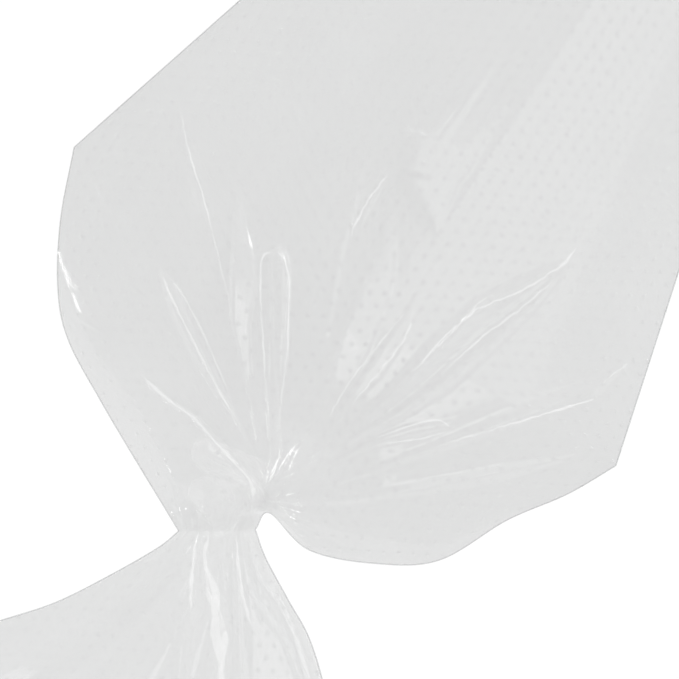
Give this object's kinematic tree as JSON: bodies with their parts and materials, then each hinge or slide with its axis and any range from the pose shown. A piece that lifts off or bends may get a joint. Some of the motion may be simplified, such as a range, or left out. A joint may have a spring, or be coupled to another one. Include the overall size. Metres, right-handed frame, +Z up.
{
  "type": "piping bag",
  "caption": "Clear embossed film piping bag, a long cone puffed up with air, pleated into a knot tied in its own film, with the open mouth as a short fanned tail.",
  "frame": {"origin": "on the surface the bag lies on, under the middle of the whole object's box", "axes": "+X towards the sealed nozzle tip, +Z up from the surface, +Y to the left of someone looking from the mouth to the tip"},
  "size_m": [0.393, 0.1508, 0.0502],
  "materials": {
    "film": "clear low-density polyethylene film, glossy, embossed with small dimples",
    "weld": "heat-sealed film, a little cloudier than the sheets",
    "bunched_film": "many layers of film pulled tight together, whiter than one layer"
  },
  "bodies": {
    "bag": {"front_sheet": "film", "back_sheet": "film", "left_side_weld": "weld", "right_side_weld": "weld", "tip_seal": "weld", "gathered_neck": "bunched_film"},
    "knot": {"knot_loop": "bunched_film", "knot_core": "bunched_film"},
    "tail": {"tail_front_sheet": "film", "tail_back_sheet": "film", "tail_left_weld": "weld", "tail_right_weld": "weld"}
  },
  "joints": [
    {"name": "knot_lift", "type": "hinge", "parent": "bag", "child": "knot", "pos_m": [-0.1165, -0.004, 0.016], "axis": [0, 1, 0], "range_deg": [0, 40]},
    {"name": "tail_swing", "type": "hinge", "parent": "knot", "child": "tail", "pos_m": [-0.1165, -0.004, 0.016], "axis": [0, 0, 1], "range_deg": [-30, 20]}
  ]
}
